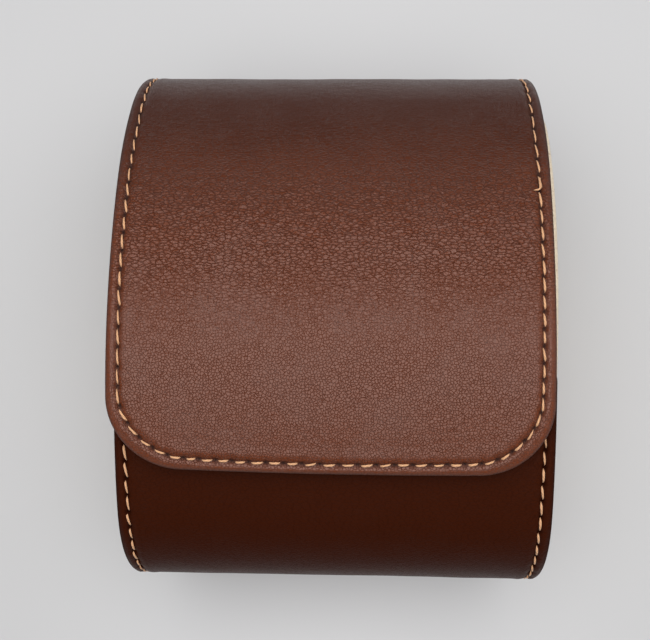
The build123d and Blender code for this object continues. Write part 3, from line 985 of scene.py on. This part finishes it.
def cut_away(piece, cutter):
    """Takes a cutter out of a piece and removes the cutter."""
    modifier = piece.modifiers.new("cut", "BOOLEAN")
    modifier.object = cutter
    modifier.operation = "DIFFERENCE"
    modifier.solver = "EXACT"
    depsgraph = bpy.context.evaluated_depsgraph_get()
    cut = bpy.data.meshes.new_from_object(piece.evaluated_get(depsgraph))
    piece.modifiers.clear()
    # The solver drops slivers of the piece's own faces, which are put back
    work = bmesh.new()
    work.from_mesh(cut)
    bmesh.ops.holes_fill(work, edges=[edge for edge in work.edges if edge.is_boundary], sides=0)
    work.to_mesh(cut)
    work.free()
    piece.data = cut
    cut.set_sharp_from_angle(angle=math.radians(40))
    bpy.data.objects.remove(cutter)


class WATCHCASE_OT_flap_skin(bpy.types.Operator):
    """Adds the flap's leather, with the free strip that bends at the hinge"""
    bl_idname = "watchcase.flap_skin"
    bl_label = "Flap leather"

    def execute(self, context):
        sizes, seams = context.scene.watch_sizes, context.scene.watch_seams
        course, outline = flap_outline(sizes)
        body = smooth((outline.s - root_distance(sizes) + 0.4) / 1.6)
        lining_room = 0.3      # how much of the flap's thickness is left to the lining
        bend = 84.0            # s of the upper end's bend
        thick = sizes.leather + (sizes.flap_body - lining_room - sizes.leather) * body
        piece = turned_strip("flap_skin", course, outline, thick, sizes.leather, flap_seam(outline, seams),
                             groove=seams.groove, bulge=edge_bulge(sizes, outline, bend))
        finish_piece(piece, finish(context, "pebbled leather"), replaces=["flap_leather"])
        across_hinge(piece)
        return {"FINISHED"}


class WATCHCASE_OT_shell_skin(bpy.types.Operator):
    """Adds the shell's leather: the back, the lower end, the front edge and the upper end wall's cover"""
    bl_idname = "watchcase.shell_skin"
    bl_label = "Shell leather"

    def execute(self, context):
        sizes, seams = context.scene.watch_sizes, context.scene.watch_seams
        leather = finish(context, "dull leather")
        thick = sizes.leather + sizes.card
        turned_in, stud_hole = 3.3, 4.05
        bend = 100.0           # s of the lower end's bend
        course = shell_course(sizes)
        outline = Outline(HALF_WIDTH, 0, course.length, sizes.front_corner)
        piece = turned_strip("shell_skin", course, outline, thick, sizes.leather,
                             shell_seam(outline, seams), inner=turned_in, groove=1.1 * seams.groove,
                             bulge=edge_bulge(sizes, outline, bend), uv_sign=-1)
        bore(piece, sizes, stud_hole, -sizes.leather - 0.2, 1.5)
        finish_piece(piece, leather, "shell", ["shell_leather"])
        course = cover_course(sizes)
        outline = Outline(HALF_WIDTH, 0, course.length, sizes.front_corner, spacing=0.6)
        piece = turned_strip("top_wall_skin", course, outline, thick, sizes.leather, inner=turned_in)
        finish_piece(piece, leather, "shell", ["top_wall_cover"])
        return {"FINISHED"}


class WATCHCASE_OT_flap_lining(bpy.types.Operator):
    """Adds the flap's suede lining, which also covers the flap's root and the strip inside the hinge"""
    bl_idname = "watchcase.flap_lining"
    bl_label = "Flap lining"

    def execute(self, context):
        sizes = context.scene.watch_sizes
        course = flap_course(sizes)
        margin, cloth, edge = 1.25, 0.5, 0.22
        past_root, socket_hole = 9.0, 4.65
        root = root_distance(sizes)
        outline = Outline(HALF_WIDTH - margin, root - past_root, course.length - margin,
                          sizes.flap_corner - margin, spacing=0.6)
        snap_y = snap_frame(sizes)[0]

        def lower(x, s):
            """Minus the flap's thickness, which runs out over the flap's root, drawn up round the socket."""
            ramp = smooth((s - root + 0.7) / 2.4)
            y = course.at(s)[0]
            from_snap = np.hypot(x + course.lean(s, y), y - snap_y)
            puff = 0.14 * smooth((HALF_WIDTH - np.abs(x)) / 12) * ramp * (1 - bell(from_snap, 9.0))
            thick = sizes.leather + cloth + (sizes.flap_body - sizes.leather - cloth) * ramp
            return 0.22 * bell(from_snap, 6.0) - thick - puff

        def upper(x, s):
            return lower(x, s) + cloth

        turn = np.linspace(math.pi / 2, -math.pi / 2, 9)
        inner = 5.0
        insets = np.concatenate([[inner], edge * (1 - np.cos(turn)), np.linspace(1.0, inner, 8)])
        share = np.concatenate([[1.0], 0.5 + 0.5 * np.sin(turn), np.zeros(8)])
        x, s = outline.inset(insets)
        heights = lower(x, s) + cloth * share
        piece = strip_piece("flap_lining_suede", course, outline, insets, heights, upper, lower)
        bore(piece, sizes, socket_hole, -0.5, 2.0)
        finish_piece(piece, finish(context, "napped suede"), replaces=["flap_lining"])
        across_hinge(piece)
        return {"FINISHED"}


def loose_end(course, seam, seams, start):
    """The thread's loose end: it leaves the right seam at a distance s, runs on a little way beside it and
    turns inwards. Its middle line is a quarter turn with straight ends, and its radius falls to the tip."""
    length, rings, sides = 3.4, 26, 10
    t = np.linspace(0, 1, rings)[:, None]
    turn = smooth((t - 0.55) / 0.3) * math.radians(80)
    step = length / (rings - 1)
    right_side = slice(None, -(seam.s.size // 3) - 1, -1)
    x = np.interp(start, seam.s[right_side], seam.x[right_side])
    x = x - step * np.cumsum(np.sin(turn), 0)
    s = start + step * np.cumsum(np.cos(turn), 0)
    around = np.linspace(0, 2 * math.pi, sides, endpoint=False)[None, :]
    radius = 0.5 * seams.thread * (1 - 0.25 * t) * np.sqrt(np.clip(1.03 - t ** 12, 0.03, 1))
    beside = radius * np.cos(around)
    height = 0.10 + 0.16 * smooth(t * 3) + radius * np.sin(around)
    points = course.wrap(x + beside * np.cos(turn), s + beside * np.sin(turn), height)
    uv = np.stack(np.broadcast_arrays(length * t, around / (2 * math.pi)), -1)
    caps = [np.arange(sides), (rings - 1) * sides + np.arange(sides)]
    return make_piece("loose_thread_end", points, grid_faces(rings, sides, close_columns=True), uv, caps,
                      sharp=75)


class WATCHCASE_OT_stitches(bpy.types.Operator):
    """Adds the stitches of the flap's seam, the shell's two side seams and its front edge, and a loose end"""
    bl_idname = "watchcase.stitches"
    bl_label = "Stitches"

    def execute(self, context):
        sizes, seams = context.scene.watch_sizes, context.scene.watch_seams
        thread = finish(context, "twisted thread")
        flap_sink, shell_sink, loose_start = -0.2, -0.26, 93.4
        course, outline = flap_outline(sizes)
        seam = flap_seam(outline, seams)
        piece = stitch_row("flap_stitches", course, seam, seams, flap_sink, seams.seed)
        finish_piece(piece, thread, replaces=["flap_seam"])
        across_hinge(piece)
        piece = loose_end(course, seam, seams, loose_start)
        finish_piece(piece, thread)
        across_hinge(piece)
        course = shell_course(sizes)
        seam = shell_seam(Outline(HALF_WIDTH, 0, course.length, sizes.front_corner), seams)
        rows = (("shell_stitches_left", "shell_seam_left", 0, 1),
                ("front_edge_stitches", "front_edge_seam", 1, 4),
                ("shell_stitches_right", "shell_seam_right", 4, 6))
        for number, (name, node, first, last) in enumerate(rows, 1):
            piece = stitch_row(name, course, seam, seams, shell_sink, seams.seed + number, first, last)
            finish_piece(piece, thread, "shell", [node])
        return {"FINISHED"}


def sleeve_span():
    """X of the sleeve's two ends."""
    low, high = node_box("sleeve_outer_suede")
    return low[0], high[0]


SUEDE_TURNED_IN = 5.0      # how far the sleeve's outer suede reaches in past its rims


def slab_profile(left, right, radius, turn_in, flat_steps):
    """X and height of a flat slab's skin, and its outward normal. It runs from a point turned in under the
    slab's left end, round that end, along the top, round the right end and in again."""
    bend = np.linspace(math.pi / 2, -math.pi / 2, 15)
    top = np.linspace(left + radius, right - radius, flat_steps)[1:-1]
    inner = np.linspace(turn_in, 0, 4)[:-1]
    level, down = np.zeros_like(inner), np.full_like(inner, -1)
    x = np.concatenate([left + radius + inner, left + radius - radius * np.cos(bend[::-1]), top,
                        right - radius + radius * np.cos(bend), right - radius - inner[::-1]])
    normal_x = np.concatenate([level, -np.cos(bend[::-1]), np.zeros_like(top), np.cos(bend), level])
    normal_z = np.concatenate([down, np.sin(bend[::-1]), np.ones_like(top), np.sin(bend), down])
    return x, radius * normal_z, normal_x, normal_z


def window_outline(low, high, corner):
    """X and Y round the sleeve's window, a rectangle with rounded corners."""
    half_x, half_y = (high[0] - low[0]) / 2, (high[1] - low[1]) / 2
    turn = np.linspace(0, 2 * math.pi, 48, endpoint=False)
    sign_x, sign_y = np.sign(np.cos(turn) + 1e-9), np.sign(np.sin(turn) + 1e-9)
    return ((low[0] + high[0]) / 2 + sign_x * (half_x - corner) + corner * np.cos(turn),
            (low[1] + high[1]) / 2 + sign_y * (half_y - corner) + corner * np.sin(turn))


def cut_window(piece, x, y):
    """Cuts the window out of a band round the sleeve, straight down from the front."""
    levels = np.array([HINGE_Z, CASE_DEPTH + 10])[:, None]
    points = np.stack(np.broadcast_arrays(x[None], y[None], levels), -1)
    caps = [np.arange(x.size), x.size + np.arange(x.size)]
    faces = grid_faces(2, x.size, close_columns=True)
    cut_away(piece, make_piece("window_cutter", points, faces, None, caps))


def sleeve_band(name, course, s, x, height, sharp=50):
    """A closed band round the sleeve: a closed profile, X and height, carried round the course."""
    x, s, height = np.broadcast_arrays(x, s, height)
    faces = grid_faces(*x.shape, close_rows=True, close_columns=True)
    return make_piece(name, course.wrap(x, s, height), faces, sharp=sharp)


class WATCHCASE_OT_sleeve(bpy.types.Operator):
    """Adds the sleeve: its suede outside, with rolled rims, and inside, its board and the window's edge"""
    bl_idname = "watchcase.sleeve"
    bl_label = "Sleeve"

    def execute(self, context):
        sizes = context.scene.watch_sizes
        suede = finish(context, "napped suede")
        course = oval_course(sizes)
        left, right = sleeve_span()
        radius = sizes.sleeve_wall / 2
        middle = -(sizes.sleeve_start + radius)
        s = np.linspace(0, course.length, 420, endpoint=False)[:, None]
        outer = self.outer_suede(course, s, middle, radius)
        inner = self.inner_suede(course, s, middle - radius)
        board = self.board(course, s, middle)
        hoop, corner = 10.0, 5.0   # the hoops' width beside the window, and the window's corners
        edge_x, edge_y = window_outline((left + hoop, sizes.window_low), (right - hoop, sizes.window_high),
                                        corner)
        for piece in (outer, inner, board):
            cut_window(piece, edge_x, edge_y)
        edge = self.window_edge(sizes, edge_x, edge_y, middle, radius + 0.06)
        finish_piece(outer, suede, "sleeve", ["sleeve_outer_suede"])
        finish_piece(inner, suede, "sleeve", ["sleeve_inner_suede"])
        finish_piece(edge, suede, "sleeve")
        finish_piece(board, finish(context, "grey board"), "sleeve", ["sleeve_board"])
        return {"FINISHED"}

    def outer_suede(self, course, s, middle, radius):
        """The outer skin, rolled in over both rims, whose nap is ruffled there by two crossing waves."""
        left, right = sleeve_span()
        skin, ruffle, ruffled = 0.5, 0.03, 34
        x, z, normal_x, normal_z = slab_profile(left, right, radius, SUEDE_TURNED_IN, 40)
        loop_x = np.concatenate([x, (x - skin * normal_x)[::-1]])[None, :]
        loop_z = np.concatenate([z, (z - skin * normal_z)[::-1]])[None, :]
        on_rim = np.abs(loop_x - 1.5) > ruffled
        nap = ruffle * np.sin(loop_x * 3.1 + s * 2.3) * np.sin(s * 3.7 - loop_x) * on_rim
        return sleeve_band("sleeve_suede_outer", course, s, loop_x, middle + loop_z + nap)

    def inner_suede(self, course, s, face):
        """The inner skin, on the wall's inner face, whose ends lie under the outer skin's."""
        left, right = sleeve_span()
        lap = SUEDE_TURNED_IN - 2.2
        line = np.linspace(left + lap, right - lap, 30)
        height = np.repeat([face - 0.12, face + 0.5], line.size)
        return sleeve_band("sleeve_suede_inner", course, s, np.concatenate([line, line[::-1]]), height)

    def board(self, course, s, middle):
        """The board between the skins."""
        left, right = sleeve_span()
        short, half_thick = 0.7, 0.55
        x = np.array([left + short, right - short, right - short, left + short])
        height = middle + half_thick * np.array([1, 1, -1, -1])
        return sleeve_band("sleeve_stiffener", course, s, x, height, sharp=30)

    def window_edge(self, sizes, edge_x, edge_y, middle, radius):
        """A roll of suede round the window's edge: a circle carried along it on the sleeve's curve."""
        crown, centre = crown_shape(sizes)[:2]
        steps = np.linspace(0, 1, 6)[None, :-1]
        x = (edge_x[:, None] + (np.roll(edge_x, -1) - edge_x)[:, None] * steps).ravel()
        y = (edge_y[:, None] + (np.roll(edge_y, -1) - edge_y)[:, None] * steps).ravel()
        z = centre + np.sqrt((crown + middle) ** 2 - y ** 2)
        path = np.stack([x, y, z], 1)
        along = np.roll(path, -1, 0) - np.roll(path, 1, 0)
        along /= np.linalg.norm(along, axis=1, keepdims=True)
        normal = np.stack([np.zeros_like(x), y, z - centre], 1) / (crown + middle)
        across = np.cross(along, normal)
        sides = 14
        turn = np.linspace(0, 2 * math.pi, sides, endpoint=False)[None, :, None]
        points = path[:, None] + radius * (np.cos(turn) * across[:, None] + np.sin(turn) * normal[:, None])
        faces = grid_faces(len(path), sides, close_rows=True, close_columns=True)
        return make_piece("sleeve_window_edge", points, faces)


class WATCHCASE_OT_pillow(bpy.types.Operator):
    """Adds the cushion that the watch is strapped round. Its section is a rounded rectangle that is drawn in
    towards both ends, gathered there in small folds and closed by two domed panels"""
    bl_idname = "watchcase.pillow"
    bl_label = "Pillow"

    def execute(self, context):
        low, high = node_box("pillow_cover")
        ends = node_box("pillow_end_left")[0][0], node_box("pillow_end_right")[1][0]
        centre, half = (low + high) / 2, (high - low) / 2
        corner, dome_rise = half[2] - 0.5, 1.4
        turn = np.linspace(0, 2 * math.pi, 160, endpoint=False)[:, None]
        section_y = np.sign(np.cos(turn)) * (half[1] - corner) + corner * np.cos(turn)
        section_z = np.sign(np.sin(turn)) * (half[2] - corner) + corner * np.sin(turn)
        half_x = (ends[1] - ends[0]) / 2
        u = np.linspace(-1, 1, 61)[None, :]
        drawn_in = 0.075 * np.abs(u) ** 5 + 0.02 * np.abs(u) ** 2
        fold = 0.30 * bell((1 - np.abs(u)) * half_x - 2.2, 1.8) * np.sin(26 * turn + 1.7 * np.sin(3 * turn))
        ring_x = centre[0] + (half_x - dome_rise) * u + 0 * turn
        ring_y = centre[1] + section_y * (1 - drawn_in) + fold * np.cos(turn)
        ring_z = centre[2] + section_z * (1 - drawn_in) + fold * np.sin(turn)
        share = np.linspace(0.93, 0.0, 12)[None, :]
        dome = dome_rise * np.sqrt(1 - share ** 2)

        def panel(side, column):
            """An end panel: the ring at a column, shrunk by shares to a point on a dome."""
            y, z = ring_y[:, [column]], ring_z[:, [column]]
            x = centre[0] + side * (half_x - dome_rise + dome) + 0 * turn
            return x, centre[1] + (y - centre[1]) * share, centre[2] + (z - centre[2]) * share

        right, left = panel(1, -1), [part[:, ::-1] for part in panel(-1, 0)]
        points = np.stack([np.concatenate([left[i], ring, right[i]], 1)
                           for i, ring in enumerate((ring_x, ring_y, ring_z))], -1)
        rows, columns = points.shape[:2]
        piece = make_piece("pillow_cushion", points, grid_faces(rows, columns, close_rows=True), sharp=80)
        finish_piece(piece, finish(context, "napped suede"), "pillow",
                     ["pillow_cover", "pillow_end_left", "pillow_end_right"])
        filling_share = np.array([0.965, 0.93, 0.90])
        points = centre + (points - centre) * filling_share
        filling = make_piece("pillow_filling", points, grid_faces(rows, columns, close_rows=True), sharp=80)
        finish_piece(filling, finish(context, "open foam"), "pillow",
                     ["pillow_foam_front", "pillow_foam_back"])
        return {"FINISHED"}


class WATCHCASE_OT_inner_layers(bpy.types.Operator):
    """Gives the layers inside the walls and the press fastener their finishes"""
    bl_idname = "watchcase.inner_layers"
    bl_label = "Inner layers and fastener"

    def execute(self, context):
        finishes = {
            "shell_board": "grey board", "flap_board": "grey board",
            "shell_lining": "napped suede", "flap_foam": "open foam", "pillow_spring_plate": "moulded sheet",
            "snap_stud": "stamped brass", "snap_post": "stamped brass", "snap_socket": "stamped brass",
            "snap_cap": "stamped brass", "snap_spring": "spring wire"}
        for node, name in finishes.items():
            mesh = frame["nodes"][node].data
            mesh.materials.clear()
            mesh.materials.append(finish(context, name))
        return {"FINISHED"}


class WATCHCASE_OT_stage(bpy.types.Operator):
    """Adds the pale floor, the soft light and the camera"""
    bl_idname = "watchcase.stage"
    bl_label = "Stage"

    def execute(self, context):
        colours = context.scene.watch_colours
        self.floor(colours)
        self.light(context)
        self.camera(context)
        context.scene.view_settings.view_transform = "Standard"
        return {"FINISHED"}

    def floor(self, colours):
        """A floor that the camera and mirrors see with painted light, a little lighter behind the case and
        lighter still close round it where the case's shadow falls, and that is mid grey to all other light."""
        reach = 1500
        side = np.linspace(-reach, reach, 5)
        x, y = np.meshgrid(side, side, indexing="ij")
        points = np.stack([x, y, np.zeros_like(x)], -1)
        floor = make_piece("floor", points, grid_faces(side.size, side.size))
        f = Finish("floor")
        camera = f.node("ShaderNodeLightPath", output="Is Camera Ray")
        glossy = f.node("ShaderNodeLightPath", output="Is Glossy Ray")
        through = f.node("ShaderNodeLightPath", output="Is Transmission Ray")
        seen = (camera + glossy + through).clip()
        y = f.axis(f.place(), "Y")
        # Painted light: the floor a little lighter behind the case
        shade = f.mix(f.ramp(y, -90.0, 110.0), tuple(colours.floor), tint(colours.floor, 1.08))
        # Painted light close round the case, which lightens its shadow there
        beside = f.node("ShaderNodeVectorMath", {"operation": "LENGTH"},
                        f.stretched(f.place(), 1.15, 0.9, 0.0), output=1)
        near = (1 - f.ramp(beside, 40.0, 105.0)) * (1 - 0.6 * f.ramp(y, -70.0, 30.0))
        shade = f.mix(near, shade, tint(colours.floor, 1.22))
        colour = f.mix(seen, (0.50, 0.50, 0.50), shade)
        f.set(Base_Color=colour, Roughness=0.9, Specular_IOR_Level=0.1)
        floor.data.materials.append(f.material)

    def light(self, context):
        """A wide lamp overhead, a small one from the right and a faint world."""
        world = bpy.data.worlds.new("studio")
        context.scene.world = world
        world.use_nodes = True
        background = world.node_tree.nodes["Background"]
        background.inputs["Color"].default_value = (0.92, 0.95, 1.0, 1)
        background.inputs["Strength"].default_value = 0.045
        lamps = (("softbox", (0.0, -0.022, 0.75), (0.0, -0.022, 0.0), 1.22, 9.3, (1.0, 0.985, 0.96)),
                 ("side", (0.75, 0.10, 0.30), (0.0, 0.0, 0.04), 0.40, 0.55, (1.0, 0.98, 0.95)))
        for name, place, target, size, power, colour in lamps:      # metres and watts
            data = bpy.data.lights.new(name, "AREA")
            data.shape = "DISK"
            data.size = size
            data.energy = power
            data.color = colour
            lamp = bpy.data.objects.new(name, data)
            lamp.location = place
            direction = np.array(target) - np.array(place)
            lamp.rotation_euler = Vector(direction).to_track_quat("-Z", "Y").to_euler()
            context.scene.collection.objects.link(lamp)

    def camera(self, context):
        """The camera, nearly straight above the case."""
        data = bpy.data.cameras.new("camera")
        data.sensor_width = 36.0
        data.lens = 57.14
        camera = bpy.data.objects.new("camera", data)
        camera.location = (0.00481, -0.03472, 0.23141)
        camera.rotation_mode = "ZYX"
        camera.rotation_euler = (0.1800, 0.0356, 0.0100)
        context.scene.collection.objects.link(camera)
        context.scene.camera = camera


class WATCHCASE_PT_panel(bpy.types.Panel):
    """Lists the pieces of the watch case"""
    bl_label = "Watch case"
    bl_idname = "WATCHCASE_PT_panel"
    bl_space_type = "VIEW_3D"
    bl_region_type = "UI"
    bl_category = "Watch case"

    def draw(self, context):
        for operator in OPERATORS:
            self.layout.operator(operator.bl_idname)


GROUPS = {"watch_sizes": WatchCaseSizes, "watch_seams": WatchCaseSeams, "watch_colours": WatchCaseColours}
OPERATORS = (WATCHCASE_OT_stage, WATCHCASE_OT_shell_skin, WATCHCASE_OT_flap_skin, WATCHCASE_OT_flap_lining,
             WATCHCASE_OT_stitches, WATCHCASE_OT_sleeve, WATCHCASE_OT_pillow, WATCHCASE_OT_inner_layers)


def register():
    for group in GROUPS.values():
        bpy.utils.register_class(group)
    for operator in OPERATORS:
        bpy.utils.register_class(operator)
    bpy.utils.register_class(WATCHCASE_PT_panel)
    for name, group in GROUPS.items():
        setattr(bpy.types.Scene, name, bpy.props.PointerProperty(type=group))


def unregister():
    for name in GROUPS:
        delattr(bpy.types.Scene, name)
    bpy.utils.unregister_class(WATCHCASE_PT_panel)
    for operator in reversed(OPERATORS):
        bpy.utils.unregister_class(operator)
    for group in reversed(list(GROUPS.values())):
        bpy.utils.unregister_class(group)


def main():
    """Makes every piece in order."""
    register()
    bpy.ops.watchcase.stage()
    bpy.ops.watchcase.shell_skin()
    bpy.ops.watchcase.flap_skin()
    bpy.ops.watchcase.flap_lining()
    bpy.ops.watchcase.stitches()
    bpy.ops.watchcase.sleeve()
    bpy.ops.watchcase.pillow()
    bpy.ops.watchcase.inner_layers()


if __name__ == "__main__":
    main()
